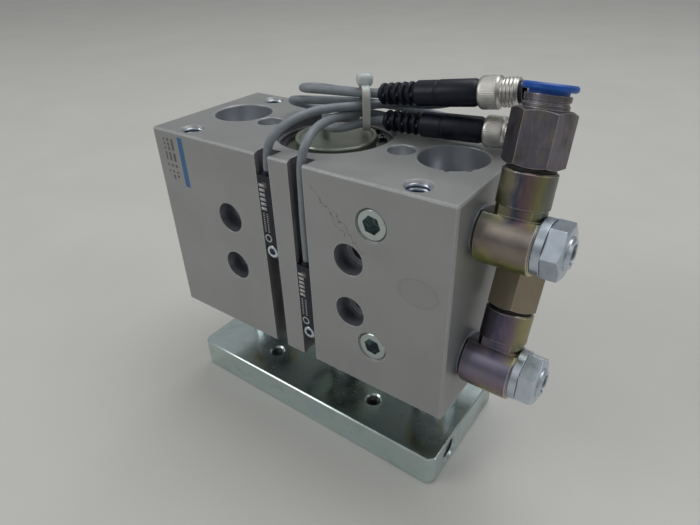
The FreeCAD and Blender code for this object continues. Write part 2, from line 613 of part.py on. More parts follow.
def banjo_bolt(name):
    """Hollow bolt with hexagon head, domed end and bore for the adjusting screw."""
    z = PORT_ZS[name]
    at = V(0, PORT_Y, z)
    face = radians(BOLT_FACE_ANGLE[name])
    shank = rod(at + XA * (RIGHT - PORT_DEPTH + 0.5), XA, BOLT_R, BOLT_HEX_X0 - RIGHT + PORT_DEPTH)
    head = hexagon(at + XA * BOLT_HEX_X0, XA, BOLT_AF, BOLT_HEX_X1 - BOLT_HEX_X0,
                   V(0, cos(face), sin(face)))
    corner = BOLT_AF / sqrt(3)
    bevel = turned(at + XA * BOLT_HEX_X0, XA, [(0, 0), (0, corner + 1), (3.45, corner + 1),
                                               (4.55, BOLT_AF / 2 - 0.3), (4.55, 0)])
    head = head.common(bevel)
    s0, s1 = BOLT_HEX_X1 - 0.01, BOLT_END_X
    dome = turned(at, XA, [(s0, 0), (s0, 4.3), (s0 + 0.4, 4.3), (s1, 3.6), (s1, 0)])
    cutters = [rod(at + XA * (RIGHT - PORT_DEPTH), XA, 2.6, 20),
               rod(at + XA * RIGHT, XA, THROTTLE_R + RUN, 40),
               rod(V(STEM_X, PORT_Y, z - 10), ZA, 1.5, 20)]
    return union([shank, head, dome]).cut(cutters)


def adjusting_screw(name):
    """Slotted throttle screw with a tapered nose inside the hollow bolt."""
    z, end = PORT_ZS[name], BOLT_END_X - 0.5
    at = V(0, PORT_Y, z)
    tip = 61.0
    body = turned(at, XA, [(tip, 0), (tip, 0.8), (tip + 3, THROTTLE_R), (end - 0.2, THROTTLE_R),
                           (end, THROTTLE_R - 0.2), (end, 0)])
    slot = block(end - 1.0, end + 1, PORT_Y - 3, PORT_Y + 3, z - 0.3, z + 0.3)
    slot.rotate(V(end, PORT_Y, z), XA, 25)
    return body.cut(slot)


def port_seals():
    """Seal between housing and swivel, one per port."""
    return Part.makeCompound([ring(V(RIGHT, PORT_Y, z), XA, BOLT_R + 0.2, 6.6, 0.5)
                              for z in PORT_ZS.values()])


def bolt_washers():
    return Part.makeCompound([ring(V(BANJO_X1 + 0.05, PORT_Y, z), XA, BOLT_R + FIT, 7.3, 2.15)
                              for z in PORT_ZS.values()])


def push_in_body(name):
    """Hexagon body screwed into the stem, with a collar and the bore for the tube."""
    foot, axis = stem(name)
    a = radians(HEX_FACE_ANGLE[name])
    back = axis.cross(XA)
    face = XA * cos(a) + back * sin(a)
    hexa = hexagon(foot + axis * HEX_S0, axis, HEX_AF, HEX_S1 - HEX_S0, face)
    corner = HEX_AF / sqrt(3)
    length = HEX_S1 - HEX_S0
    bevel = turned(foot + axis * HEX_S0, axis,
                   [(0, 0), (0, HEX_AF / 2 - 0.3), (0.8, corner + 0.2), (length - 0.8, corner + 0.2),
                    (length, HEX_AF / 2 - 0.3), (length, 0)])
    hexa = hexa.common(bevel)
    spigot = rod(foot + axis * 9.5, axis, STEM_BORE_R - FIT, HEX_S0 - 9.5)
    collar = turned(foot, axis, [(HEX_S1 - 0.01, 0), (HEX_S1 - 0.01, COLLAR_R), (HEX_S1 + 1.0, COLLAR_R),
                                 (HEX_S1 + 1.2, COLLAR_R - 0.3), (HEX_S1 + 1.6, COLLAR_R - 0.3),
                                 (HEX_S1 + 1.8, COLLAR_R), (COLLAR_TOP, COLLAR_R), (COLLAR_TOP, 0)])
    cutters = [rod(foot + axis * 8, axis, 2.8, 20),
               rod(foot + axis * 20.5, axis, TUBE_R, 20),
               rod(foot + axis * 23.0, axis, 5.1, 8.0),
               rod(foot + axis * 30.9, axis, SLEEVE_R + 0.1, 10)]
    return union([hexa, spigot, collar]).cut(cutters)


def push_in_gasket(name):
    """Flat black ring between stem and hexagon."""
    foot, axis = stem(name)
    return ring(foot + axis * (STEM_TOP + 0.02), axis, STEM_BORE_R + FIT, 5.8, HEX_S0 - STEM_TOP - 0.04)


def tube_oring(name):
    foot, axis = stem(name)
    return ring(foot + axis * 23.1, axis, TUBE_R - 0.15, 5.1 - FIT, 1.8)


def collet(name):
    """Grip ring whose six steel claws hold the tube."""
    foot, axis = stem(name)
    profile = [(25.2, TUBE_R + 0.05), (25.2, 5.0), (27.5, 5.0), (30.6, 4.75), (30.6, TUBE_R + 0.35)]
    body = turned(foot, axis, profile)
    slots = []
    for i in range(3):
        cut = Part.makeBox(12, 0.6, 3.6, foot + axis * 27.3 + V(-6, 0, 0) + V(0, -0.3, 0))
        cut.rotate(foot + axis * 27.3, XA, -LEAN[name])
        cut.rotate(foot, axis, 60 * i)
        slots.append(cut)
    return body.cut(slots)


def release_ring(name):
    """Coloured ring that frees the tube when pressed in."""
    foot, axis = stem(name)
    profile = [(31.6, TUBE_R), (31.6, SLEEVE_R), (RING_S0, SLEEVE_R), (RING_S0, RING_R - 0.5),
               (RING_S0 + 0.4, RING_R), (RING_S1 - 0.4, RING_R), (RING_S1, RING_R - 0.5),
               (RING_S1, TUBE_R + 0.5), (RING_S1 - 0.5, TUBE_R)]
    return turned(foot, axis, profile)


# ---- nodes -----------------------------------------------------------------------------------
def build():
    """Node name to shape."""
    nodes = {
        "yoke_plate": yoke_plate(),
        "guide_rod_left": guide_rod(-1),
        "guide_rod_right": guide_rod(1),
        "guide_rod_screws": Part.makeCompound(
            both_sides(lambda s: cap_screw(V(s * GUIDE_X, AXIS_Y, 0), GUIDE_SCREW))),
        "piston_rod": piston_rod(),
        "piston_rod_screw": cap_screw(V(0, AXIS_Y, 0), ROD_SCREW),
        "piston": piston(),
        "piston_screw": piston_screw(),
        "piston_seal": piston_seal(),
        "piston_magnet": groove_ring(MAGNET_GROOVE, PISTON_R - 0.1),
        "piston_wear_ring": groove_ring(WEAR_GROOVE, CYL_R - RUN),
        "piston_bumpers": piston_bumpers(),
        "housing": housing(),
        "guide_bushes_left": guide_bushes(-1),
        "guide_bushes_right": guide_bushes(1),
        "rear_end_cap": rear_end_cap(),
        "rear_cap_oring": cap_oring(CAP_Z + 1.6, CAP_SEAT_R - FIT - 1.3, 2.0),
        "rear_circlip": circlip(CAP_Z + CAP_FLANGE_T, -20),
        "rod_bearing_cap": rod_bearing_cap(),
        "rod_bush": rod_bush(),
        "rod_seal": rod_seal(),
        "bearing_cap_oring": cap_oring(BEARING_Z1 - 4.65, CAP_SEAT_R - FIT - 1.3, 2.4),
        "bearing_circlip": circlip(BEARING_Z0 - CIRCLIP_T, 160),
        "port_plugs": Part.makeCompound([port_plug(z) for z in PORT_ZS.values()]),
        "sensor_left": sensor("left"),
        "sensor_right": sensor("right"),
        "sensor_clamp_screws": sensor_clamp_screws(),
        "sensor_windows": sensor_windows(),
        "cable_left": tube(ROUTES["left"], CABLE_R),
        "cable_right": tube(ROUTES["right"], CABLE_R),
        "cable_tie": cable_tie(),
        "port_seals": port_seals(),
        "bolt_washers": bolt_washers(),
    }
    for name in ("upper", "lower"):
        nodes["connector_boot_" + name] = connector_boot(name)
        nodes["connector_grip_" + name] = connector_grip(name)
        nodes["coupling_nut_" + name] = coupling_nut(name)
        nodes["contact_insert_" + name] = contact_insert(name)
        nodes["banjo_bolt_" + name] = banjo_bolt(name)
        nodes["adjusting_screw_" + name] = adjusting_screw(name)
        nodes["swivel_body_" + name] = swivel_body(name)
        nodes["push_in_body_" + name] = push_in_body(name)
        nodes["push_in_gasket_" + name] = push_in_gasket(name)
        nodes["tube_oring_" + name] = tube_oring(name)
        nodes["collet_" + name] = collet(name)
        nodes["release_ring_" + name] = release_ring(name)
    return nodes


os.makedirs("parts", exist_ok=True)
for node, shape in build().items():
    if not shape.isValid():
        print("not valid:", node)
    shape.exportStep("parts/" + node + ".step")
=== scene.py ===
"""Looks of the compact guided drive: materials, threads, knurls, cables, tie, light and camera.
Metres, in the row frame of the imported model; lengths written in millimetres are times MM."""
import json
from math import cos, floor, pi, radians, sin, sqrt

import bmesh
import bpy
from mathutils import Matrix, Quaternion, Vector


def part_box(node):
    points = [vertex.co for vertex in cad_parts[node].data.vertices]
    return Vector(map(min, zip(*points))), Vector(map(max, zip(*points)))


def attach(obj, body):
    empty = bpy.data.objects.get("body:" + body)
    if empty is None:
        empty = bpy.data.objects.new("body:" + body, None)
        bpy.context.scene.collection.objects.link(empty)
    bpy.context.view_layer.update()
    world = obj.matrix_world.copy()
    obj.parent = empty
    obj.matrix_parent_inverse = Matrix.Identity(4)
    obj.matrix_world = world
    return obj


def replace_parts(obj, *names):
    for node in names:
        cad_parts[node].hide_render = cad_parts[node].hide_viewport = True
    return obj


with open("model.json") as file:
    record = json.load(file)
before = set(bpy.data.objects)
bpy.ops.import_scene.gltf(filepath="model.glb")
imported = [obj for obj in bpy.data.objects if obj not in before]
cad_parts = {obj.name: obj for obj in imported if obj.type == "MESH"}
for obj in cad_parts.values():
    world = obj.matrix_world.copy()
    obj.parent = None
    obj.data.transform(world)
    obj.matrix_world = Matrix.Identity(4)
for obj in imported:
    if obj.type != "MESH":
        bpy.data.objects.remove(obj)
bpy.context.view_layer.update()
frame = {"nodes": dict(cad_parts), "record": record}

MM = 0.001
XA, YA, ZA = Vector((1, 0, 0)), Vector((0, 1, 0)), Vector((0, 0, 1))
nodes = frame["nodes"]
housing_low, housing_high = (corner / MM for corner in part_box("housing"))
plate_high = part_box("yoke_plate")[1] / MM
FRONT, TOP = housing_low.y, housing_high.z

# places on the housing and the plate, mm, as the solids have them
AXIS_Y, GUIDE_X, GUIDE_BORE_R, MOUTH_R = 2.5, 40.8, 10.0, 19.2
TOP_TAPS, TOP_TAP_R = [(sx * 42.2, sy * 19.5) for sx in (-1, 1) for sy in (-1, 1)], 3.4
PLATE_TAPS, PLATE_TAP_R = [(sx * 23.5, sy * 12.2) for sx in (-1, 1) for sy in (-1, 1)], 2.5
FRONT_HOLES = [(sx * 23.8, z) for sx in (-1, 1) for z in (60.1, 78.4)]
FRONT_HOLE_R, FRONT_HOLE_NARROW_R = 5.2, 3.7      # with a little room
END_TAP_Y, END_TAP_Z, END_TAP_R = -12.0, 6.6, 3.75
DOWEL_X, DOWEL_Y, DOWEL_HOLE_R = 25.7, -0.3, 4.3
SLOT_X, SLOT_HALF_W, SLOT_DEPTH = 6.35, 3.4, 5.5
STEM_X, STEM_R = 65.1, 6.6
PORT_Z = {"upper": 91.5, "lower": 50.0}
CONNECTOR = {"upper": (Vector((12.0, 10.0, 115.0)), Vector((37.0, 2.0, 4.8)).normalized()),
             "lower": (Vector((13.8, 9.8, 107.4)), Vector((35.0, 3.4, 1.3)).normalized())}


# ---- materials -------------------------------------------------------------------------------
class Look:
    """A Principled material under construction. Textures use the row frame, lengths in mm."""

    def __init__(self, name, metallic=0.0, **sockets):
        self.material = bpy.data.materials.new(name)
        self.material.use_nodes = True
        self.tree = self.material.node_tree
        self.bsdf = self.tree.nodes["Principled BSDF"]
        self.bsdf.inputs["Metallic"].default_value = metallic
        for socket, value in sockets.items():
            self.bsdf.inputs[socket.replace("_", " ")].default_value = value
        scaled = self.node("ShaderNodeVectorMath", operation="SCALE")
        self.link(self.node("ShaderNodeTexCoord").outputs["Object"], scaled.inputs[0])
        scaled.inputs["Scale"].default_value = 1 / MM
        self.place = scaled.outputs[0]
        split = self.node("ShaderNodeSeparateXYZ")
        self.link(self.place, split.inputs[0])
        self.x, self.y, self.z = split.outputs
        self.height = None
        self.rounding = 0.25

    def node(self, kind, **settings):
        made = self.tree.nodes.new(kind)
        for key, value in settings.items():
            setattr(made, key, value)
        return made

    def link(self, source, target):
        """Joins a socket, or sets a plain value."""
        if isinstance(source, bpy.types.NodeSocket):
            self.tree.links.new(source, target)
        else:
            target.default_value = source

    def math(self, operation, a, b=0.0, c=0.0):
        made = self.node("ShaderNodeMath", operation=operation)
        for socket, value in zip(made.inputs, (a, b, c)):
            self.link(value, socket)
        return made.outputs[0]

    def noise(self, size, detail=3.0, stretch=(1, 1, 1), rough=0.55, distortion=0.0):
        """Noise with blobs about size mm across, longer along the axes with a stretch above 1."""
        moved = self.node("ShaderNodeVectorMath", operation="MULTIPLY")
        self.link(self.place, moved.inputs[0])
        moved.inputs[1].default_value = [1 / (size * s) for s in stretch]
        made = self.node("ShaderNodeTexNoise")
        self.link(moved.outputs[0], made.inputs["Vector"])
        made.inputs["Scale"].default_value = 1.0
        made.inputs["Detail"].default_value = detail
        made.inputs["Roughness"].default_value = rough
        made.inputs["Distortion"].default_value = distortion
        return made.outputs["Fac"]

    def step(self, value, low, high, to_low=0.0, to_high=1.0):
        """value mapped smoothly from low..high to to_low..to_high."""
        made = self.node("ShaderNodeMapRange", interpolation_type="SMOOTHSTEP")
        for name, number in (("Value", value), ("From Min", low), ("From Max", high),
                             ("To Min", to_low), ("To Max", to_high)):
            self.link(number, made.inputs[name])
        return made.outputs[0]

    def ramp(self, value, stops):
        made = self.node("ShaderNodeValToRGB")
        self.link(value, made.inputs[0])
        elements = made.color_ramp.elements
        while len(elements) < len(stops):
            elements.new(0.5)
        for element, (position, colour) in zip(elements, stops):
            element.position = position
            element.color = (*colour, 1)
        return made.outputs[0]

    def mix(self, factor, a, b):
        made = self.node("ShaderNodeMix", data_type="RGBA")
        self.link(factor, made.inputs[0])
        for socket, value in ((made.inputs[6], a), (made.inputs[7], b)):
            self.link((*value, 1) if isinstance(value, tuple) else value, socket)
        return made.outputs[2]

    def edges(self, radius, low=0.002, high=0.08):
        """1 on convex or hollow edges, 0 on flat ground."""
        bevel = self.node("ShaderNodeBevel", samples=4)
        bevel.inputs["Radius"].default_value = radius * MM
        dot = self.node("ShaderNodeVectorMath", operation="DOT_PRODUCT")
        self.link(bevel.outputs[0], dot.inputs[0])
        self.link(self.node("ShaderNodeNewGeometry").outputs["Normal"], dot.inputs[1])
        return self.step(self.math("SUBTRACT", 1.0, dot.outputs["Value"]), low, high)

    def streaks(self, size, stretch, cut=0.68):
        """Sparse thin lines along the stretched axis."""
        return self.step(self.noise(size, 2.0, stretch), cut, cut + 0.04)

    def bars(self, x, x0, x1, z, z0, z1, blur=0.12):
        """1 inside a rectangle of two coordinates."""
        sides = []
        for value, low, high in ((x, x0, x1), (z, z0, z1)):
            sides.append(self.step(value, low - blur, low + blur))
            sides.append(self.step(value, high - blur, high + blur, 1.0, 0.0))
        made = sides[0]
        for side in sides[1:]:
            made = self.math("MULTIPLY", made, side)
        return made

    def distance(self, a, b, at_a, at_b):
        """Distance from a line, in the plane of two coordinates."""
        da, db = self.math("SUBTRACT", a, at_a), self.math("SUBTRACT", b, at_b)
        return self.math("SQRT", self.math("ADD", self.math("MULTIPLY", da, da),
                                           self.math("MULTIPLY", db, db)))

    def relief(self, value, depth):
        """Adds a height, in mm, to the bump of the finished material."""
        scaled = self.math("MULTIPLY", value, depth * MM)
        self.height = scaled if self.height is None else self.math("ADD", self.height, scaled)

    def finish(self, colour, roughness):
        self.link(colour, self.bsdf.inputs["Base Color"])
        self.link(roughness, self.bsdf.inputs["Roughness"])
        if self.height is not None:
            bevel = self.node("ShaderNodeBevel", samples=4)
            bevel.inputs["Radius"].default_value = self.rounding * MM
            bump = self.node("ShaderNodeBump")
            bump.inputs["Distance"].default_value = 1.0
            self.link(self.height, bump.inputs["Height"])
            self.link(bevel.outputs[0], bump.inputs["Normal"])
            self.link(bump.outputs[0], self.bsdf.inputs["Normal"])
        return self.material


def metal(name, tones, rough, blotch=5.0, grain=0.12, grain_depth=0.004, stretch=(1, 1, 1),
          edge=(0.3, (0.8, 0.8, 0.8), 0.5), grime=0.3, metallic=1.0):
    """Plated or bare metal: blotchy tone, fine grain, dirt specks and brighter edges, partly rubbed
    wear and partly painted highlight.
    """
    look = Look(name, metallic)
    count = len(tones) - 1
    stops = [(0.3 + 0.4 * i / max(count, 1), tone) for i, tone in enumerate(tones)]
    colour = look.ramp(look.noise(blotch, 3.0, distortion=0.4), stops)
    fine = look.noise(grain, 3.0, stretch)
    dirt = look.step(look.noise(1.1, 5.0, rough=0.7), 0.6, 0.74)
    colour = look.mix(look.math("MULTIPLY", dirt, grime), colour, (0.05, 0.045, 0.04))
    width, bright, amount = edge
    # brighter edges: partly rubbed wear, partly a painted highlight along edges and chamfers
    worn_and_highlit = look.math("MULTIPLY", look.edges(width), look.step(look.noise(0.9), 0.35, 0.6, 0.4, 1.0))
    colour = look.mix(look.math("MULTIPLY", worn_and_highlit, amount), colour, bright)
    low, high = rough
    roughness = look.step(look.noise(blotch * 0.6, 4.0), 0.3, 0.7, low, high)
    roughness = look.math("ADD", roughness, look.math("MULTIPLY", dirt, grime * 0.8))
    look.relief(fine, grain_depth)
    return look, colour, roughness


def plain_metal(name, tones, rough, **more):
    look, colour, roughness = metal(name, tones, rough, **more)
    return look.finish(colour, roughness)


def moulded(name, tones, rough, grain=0.2, grain_depth=0.006, dust=0.25, **sockets):
    """Plastic or rubber: fine moulded grain, faint dust and a little tone."""
    look = Look(name, 0.0, **sockets)
    dark, light = tones
    colour = look.ramp(look.noise(3.0, 4.0), [(0.35, dark), (0.65, light)])
    dusty = look.step(look.noise(1.6, 5.0, rough=0.7), 0.55, 0.8)
    colour = look.mix(look.math("MULTIPLY", dusty, dust), colour, (0.32, 0.31, 0.29))
    rubbed = look.math("MULTIPLY", look.edges(0.2), 0.35)
    colour = look.mix(rubbed, colour, tuple(min(1.0, c * 2.2 + 0.02) for c in light))
    low, high = rough
    roughness = look.math("ADD", look.step(look.noise(2.0, 4.0), 0.3, 0.7, low, high),
                          look.math("MULTIPLY", dusty, 0.15))
    look.relief(look.noise(grain, 2.0), grain_depth)
    return look.finish(colour, roughness)


def printed(look, colour, on_front):
    """A generic blue bar and three columns of dashes that spell nothing."""
    dashes = look.step(look.noise(1.05, 1.0, (30, 30, 1), rough=0.2), 0.44, 0.50)
    bar = look.bars(look.x, -44.0, -41.6, look.z, 84.6, 101.8)
    colour = look.mix(look.math("MULTIPLY", bar, on_front), colour, (0.06, 0.16, 0.34))
    for x0, x1, z0 in ((-47.6, -46.4, 87.0), (-49.6, -48.6, 85.5), (-51.4, -50.7, 87.5)):
        line = look.math("MULTIPLY", look.bars(look.x, x0, x1, look.z, z0, 100.8), dashes)
        line = look.math("MULTIPLY", look.math("MULTIPLY", line, on_front), 0.75)
        colour = look.mix(line, colour, (0.05, 0.05, 0.055))
    return colour


def stained(look, colour, on_front):
    """A faint oval stain with two rings."""
    stain_x, stain_z, width_share = 33.9, 75.6, 0.72
    uneven = look.math("MULTIPLY_ADD", look.noise(2.0), 1.2, look.x)
    away = look.distance(look.math("MULTIPLY", uneven, width_share), look.z, stain_x, stain_z)
    for r0, r1, amount in ((-1.0, 4.6, 0.05), (3.9, 4.5, 0.13), (2.6, 2.9, 0.06)):
        ring = look.bars(away, r0, r1, look.z, 60.0, 90.0, 0.3)
        ring = look.math("MULTIPLY", look.math("MULTIPLY", ring, on_front), amount)
        colour = look.mix(ring, colour, (0.12, 0.12, 0.12))
    return colour


def scratched(look, colour, on_front):
    """Two wandering slanted scratches."""
    half_width = 0.16
    bent = look.math("ADD", look.x, look.math("MULTIPLY", look.noise(3.0, 4.0), 7.5))
    slanted = look.math("ADD", look.math("MULTIPLY", look.z, 0.9), bent)
    for at, z0, z1 in ((103.8, 85.0, 98.5), (106.4, 82.0, 93.0)):
        line = look.bars(slanted, at - half_width, at + half_width, look.z, z0, z1, 0.14)
        line = look.math("MULTIPLY", look.math("MULTIPLY", line, on_front), 0.6)
        colour = look.mix(line, colour, (0.08, 0.08, 0.085))
    return colour


def anodised():
    """Satin grey housing with faint upright fibres; its front is printed, stained and scratched."""
    # the bright edge tone here is partly wear and partly a painted highlight on the chamfers
    look, colour, roughness = metal(
        "anodised_housing", [(0.325, 0.332, 0.330), (0.360, 0.367, 0.366)], (0.40, 0.50), blotch=22.0,
        grain=0.16, grain_depth=0.003, edge=(0.7, (0.66, 0.67, 0.68), 0.6), grime=0.06, metallic=0.45)
    look.rounding = 0.45
    fibre = look.noise(0.35, 3.0, (1, 1, 40))
    colour = look.mix(look.step(fibre, 0.3, 0.8, 0.0, 0.10), colour, (0.46, 0.465, 0.47))
    roughness = look.math("ADD", roughness, look.step(fibre, 0.3, 0.7, -0.03, 0.03))
    on_front = look.step(look.y, FRONT + 0.3, FRONT + 0.1)
    for dress in (printed, stained, scratched):
        colour = dress(look, colour, on_front)
    return look.finish(colour, roughness)


def bored():
    """Walls of the bores: bright bare metal with fine turning rings, with painted shade darkening them
    down the front holes.
    """
    look, colour, roughness = metal(
        "bored_walls", [(0.62, 0.645, 0.68), (0.70, 0.725, 0.76)], (0.28, 0.32), blotch=9.0,
        grain=0.12, grain_depth=0.001, stretch=(40, 40, 1), edge=(0.3, (0.8, 0.81, 0.83), 0.4),
        grime=0.01, metallic=0.88)
    front_hole = look.step(look.y, FRONT + 9.0, FRONT + 8.0)
    # painted shade: darker the deeper down the front holes
    deep = look.step(look.y, FRONT + 0.5, FRONT + 4.0, 0.0, 0.6)
    colour = look.mix(look.math("MULTIPLY", front_hole, deep), colour, (0.17, 0.18, 0.24))
    return look.finish(colour, roughness)


def shaded_recess_walls():
    """Anodised walls painted darker as shade inside the sensor slots, the cap's mouth and the narrow
    front holes.
    """
    return plain_metal("shaded_recess_walls", [(0.19, 0.185, 0.20), (0.27, 0.265, 0.28)], (0.40, 0.55),
                       blotch=8.0, grain=0.3, stretch=(1, 1, 20),
                       edge=(0.2, (0.3, 0.3, 0.3), 0.3), metallic=0.4)


def plated_plate():
    """Glossy blue-green zinc with long soft waves and fine lengthwise grinding; duller on the plugs."""
    look, colour, roughness = metal(
        "blue_zinc_plate", [(0.50, 0.63, 0.63), (0.61, 0.71, 0.69), (0.55, 0.68, 0.70)], (0.15, 0.26),
        blotch=9.0, grain=0.10, grain_depth=0.0015, stretch=(14, 1, 1),
        edge=(0.4, (0.86, 0.88, 0.90), 0.6), grime=0.35)
    on_front = look.step(look.y, FRONT + 1.5, FRONT + 0.8)
    above_plate = look.step(look.z, 22.0, 24.0, 0.0, 0.45)
    colour = look.mix(look.math("MULTIPLY", on_front, above_plate), colour, (0.30, 0.30, 0.28))
    nicks = look.streaks(0.5, (5, 1, 1), 0.70)
    colour = look.mix(look.math("MULTIPLY", nicks, 0.3), colour, (0.85, 0.87, 0.88))
    look.relief(look.noise(7.0, 2.0), 0.03)
    return look.finish(colour, roughness)


def yellow_zinc():
    """Yellow passivated zinc: the upper swivel olive to brown, the lower one gold to violet, from
    bottom to top, the yellow bottoms being a painted reflection of the floor; the stems carry painted
    reflection bands across their width in passivation tints.
    Heights are measured from each bolt's axis."""
    look = Look("yellow_zinc", 1.0)
    halfway = (PORT_Z["upper"] + PORT_Z["lower"]) / 2
    upper = look.step(look.z, halfway + 3.25, halfway + 5.25)
    middle = look.math("MULTIPLY_ADD", upper, PORT_Z["upper"] - PORT_Z["lower"], PORT_Z["lower"])
    height = look.math("SUBTRACT", look.z, middle)
    cloud = look.math("SUBTRACT", look.noise(4.5, 2.0, (1, 1, 1.6), rough=0.4), 0.5)
    # colour climbs with height: the yellow towards each swivel's bottom is a painted reflection of the
    # floor, the rest passivation tint
    banjo = look.math("MULTIPLY_ADD", cloud, 0.8, look.step(height, -8.5, 5.0))
    mottle = look.math("SUBTRACT", look.noise(0.7, 4.0, rough=0.6), 0.5)
    banjo = look.math("MULTIPLY_ADD", mottle, 0.45, banjo)
    above = look.ramp(banjo, [(0.22, (0.38, 0.39, 0.14)), (0.42, (0.28, 0.26, 0.13)),
                              (0.60, (0.24, 0.20, 0.17)), (0.95, (0.29, 0.26, 0.23))])
    below = look.ramp(banjo, [(0.10, (0.40, 0.37, 0.18)), (0.34, (0.33, 0.25, 0.22)),
                              (0.60, (0.25, 0.20, 0.25)), (0.95, (0.22, 0.21, 0.28))])
    colour = look.mix(upper, below, above)
    # bands across the stem's width, keyed to x: painted reflections on the round stem, dark in the
    # middle, in passivation tints
    across = look.math("MULTIPLY_ADD", look.x, 0.5 / STEM_R, 0.5 - 0.5 * STEM_X / STEM_R)
    lines = look.math("SUBTRACT", look.noise(0.9, 2.0, (1, 1, 14)), 0.5)
    across = look.math("MULTIPLY_ADD", lines, 0.18, look.math("MULTIPLY_ADD", cloud, 0.30, across))
    stem_above = look.ramp(across, [(0.06, (0.15, 0.16, 0.12)), (0.26, (0.30, 0.28, 0.16)),
                                    (0.38, (0.22, 0.20, 0.17)), (0.50, (0.09, 0.10, 0.14)),
                                    (0.64, (0.25, 0.17, 0.18)), (0.82, (0.29, 0.27, 0.13)),
                                    (0.97, (0.18, 0.19, 0.16))])
    stem_below = look.ramp(across, [(0.08, (0.12, 0.11, 0.14)), (0.30, (0.20, 0.17, 0.21)),
                                    (0.50, (0.12, 0.12, 0.19)), (0.70, (0.25, 0.20, 0.26)),
                                    (0.92, (0.34, 0.31, 0.17))])
    colour = look.mix(look.step(height, 5.6, 6.6), colour, look.mix(upper, stem_below, stem_above))
    # painted highlight along rims and edges, weaker round the stem's waist
    worn_and_highlit = look.math("MULTIPLY", look.edges(0.4), look.step(height, 6.2, 7.2, 0.95, 0.5))
    colour = look.mix(worn_and_highlit, colour, (0.86, 0.85, 0.78))
    dirt = look.step(look.noise(1.2, 5.0, rough=0.7), 0.62, 0.76)
    colour = look.mix(look.math("MULTIPLY", dirt, 0.15), colour, (0.08, 0.07, 0.07))
    look.relief(look.noise(0.12, 3.0), 0.0015)
    return look.finish(colour, look.step(look.noise(3.0), 0.3, 0.7, 0.30, 0.40))


def bronzed_zinc():
    """Brown-violet passivated hexagons with soft streaks down each face; the lower one browner."""
    look = Look("bronze_zinc", 1.0)
    cloud = look.noise(4.2, 2.0, (1, 1, 2), distortion=0.3)
    fine = look.noise(0.55, 2.0, (1, 1, 30))
    tone = look.math("MULTIPLY_ADD", look.math("SUBTRACT", fine, 0.5), 0.55, cloud)
    colour = look.ramp(tone, [(0.28, (0.14, 0.125, 0.125)), (0.45, (0.205, 0.185, 0.195)),
                              (0.58, (0.215, 0.20, 0.25)), (0.74, (0.27, 0.25, 0.22))])
    lower = look.step(look.z, 100.0, 97.0, 0.0, 0.7)
    colour = look.mix(lower, colour, (0.42, 0.35, 0.23))
    # brighter edges: partly wear, partly painted highlight
    worn_and_highlit = look.math("MULTIPLY", look.edges(0.35), look.step(look.noise(0.9), 0.35, 0.6, 0.4, 0.9))
    colour = look.mix(worn_and_highlit, colour, (0.66, 0.64, 0.60))
    look.relief(fine, 0.0015)
    return look.finish(colour, look.step(look.noise(3.0), 0.3, 0.7, 0.30, 0.42))


def cap_alloy():
    """Satin greenish-grey cap: faint turning rings, a bright rim with painted highlight and a dark
    outer wall of painted shade.
    """
    look, colour, roughness = metal(
        "olive_cap", [(0.255, 0.288, 0.235), (0.310, 0.335, 0.280)], (0.30, 0.40), blotch=9.0,
        grain=0.2, grain_depth=0.001, edge=(0.4, (0.75, 0.77, 0.72), 0.6), grime=0.12, metallic=0.7)
    radius = look.distance(look.x, look.y, 0.0, AXIS_Y)
    wall_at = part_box("rear_end_cap")[1].x / MM
    # painted shade on the cap's outer wall, down in the groove
    wall = look.step(radius, wall_at - 0.30, wall_at - 0.05, 0.0, 0.65)
    colour = look.mix(wall, colour, (0.06, 0.07, 0.075))
    look.relief(look.math("SINE", look.math("MULTIPLY", radius, 7.0)), 0.0008)
    return look.finish(colour, roughness)


def nylon():
    """Translucent tie, with painted light making its top and head paler."""
    look = Look("white_nylon", 0.0, Subsurface_Weight=0.25, Subsurface_Scale=0.0012)
    colour = look.mix(look.noise(2.5, 3.0), (0.47, 0.48, 0.44), (0.55, 0.56, 0.52))
    # painted light: the top of the tie and its head made paler and cooler
    colour = look.mix(look.step(look.z, 116.2, 117.2, 0.0, 0.8), colour, (0.60, 0.66, 0.66))
    look.relief(look.noise(0.3, 2.0), 0.004)
    look.rounding = 0.15
    return look.finish(colour, look.step(look.noise(2.0), 0.3, 0.7, 0.28, 0.42))


